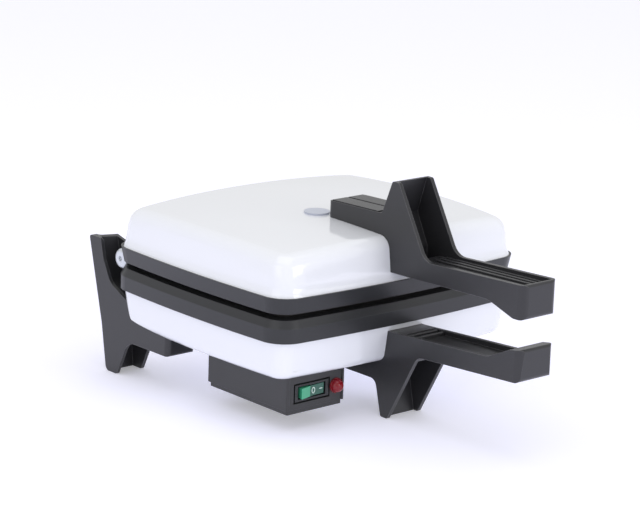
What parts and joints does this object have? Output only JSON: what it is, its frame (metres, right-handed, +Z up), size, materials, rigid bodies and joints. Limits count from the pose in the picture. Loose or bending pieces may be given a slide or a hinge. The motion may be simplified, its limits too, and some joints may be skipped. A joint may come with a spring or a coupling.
{
  "type": "waffle maker",
  "caption": "Countertop double waffle maker with a white hinged lid and pan, dark handles with an upright horn, moulded rear legs, rocker switch and pilot lamp",
  "frame": {"origin": "centre of the bounding box, on the surface that the feet stand on", "axes": "+Z up, +X to the right of someone who faces the handles' ends from -Y, -Y the way the handles point"},
  "size_m": [0.26, 0.39, 0.1883],
  "materials": {
    "white_enamel": "gloss white enamel",
    "band_moulding": "satin charcoal",
    "handle_moulding": "satin charcoal, fine grain",
    "box_moulding": "satin charcoal",
    "cast_plate": "dark cast with a non-stick coat",
    "element_tube": "oxidised steel tube",
    "ceramic": "glazed ceramic",
    "terminal_plastic": "heat-resistant cream plastic",
    "brass_tab": "plain brass",
    "zinc_steel": "zinc plated",
    "hinge_silver": "silver, satin",
    "disc_grey": "flat grey",
    "green_rocker": "bright green",
    "switch_plastic": "black",
    "red_lens": "clear red",
    "gland_rubber": "black rubber",
    "lead_sleeve": "woven glass sleeve"
  },
  "bodies": {
    "base": {"lower_shell": "white_enamel", "lower_band": "band_moulding", "lower_waffle_plate": "cast_plate", "lower_heating_element": "element_tube", "lower_element_collars": "ceramic", "lower_element_tabs": "brass_tab", "lower_plate_screws": "zinc_steel", "lower_posts": "zinc_steel", "lower_heat_shield": "zinc_steel", "thermostat": "zinc_steel", "left_rear_leg": "handle_moulding", "right_rear_leg": "handle_moulding", "rear_leg_screws": "zinc_steel", "lower_handle": "handle_moulding", "foot_screws": "zinc_steel", "mounting_nuts": "zinc_steel", "hinge_screws": "hinge_silver", "hinge_nuts": "zinc_steel", "control_box": "box_moulding", "control_panel": "box_moulding", "box_cover": "box_moulding", "cover_screws": "zinc_steel", "box_screws": "zinc_steel", "switch_body": "switch_plastic", "lamp_lens": "red_lens", "lamp_body": "switch_plastic", "cord_gland": "gland_rubber", "terminal_block": "terminal_plastic", "switch_leads": "lead_sleeve", "lamp_leads": "lead_sleeve", "element_leads": "lead_sleeve"},
    "rocker": {"switch_rocker": "green_rocker"},
    "lid": {"lid_shell": "white_enamel", "upper_band": "band_moulding", "upper_waffle_plate": "cast_plate", "upper_heating_element": "element_tube", "upper_element_collars": "ceramic", "upper_element_tabs": "brass_tab", "upper_plate_screws": "zinc_steel", "upper_posts": "zinc_steel", "upper_heat_shield": "zinc_steel", "lid_handle": "handle_moulding", "lid_handle_screws": "zinc_steel", "lid_handle_nuts": "zinc_steel", "lid_disc": "disc_grey"}
  },
  "joints": [
    {"name": "lid_hinge", "type": "hinge", "parent": "base", "child": "lid", "pos_m": [0, 0.15925, 0.0954], "axis": [-1, 0, 0], "range_deg": [0, 84]},
    {"name": "rocker_pivot", "type": "hinge", "parent": "base", "child": "rocker", "pos_m": [-0.08155, -0.03775, 0.0304], "axis": [0, 0, -1], "range_deg": [0, 18]}
  ]
}
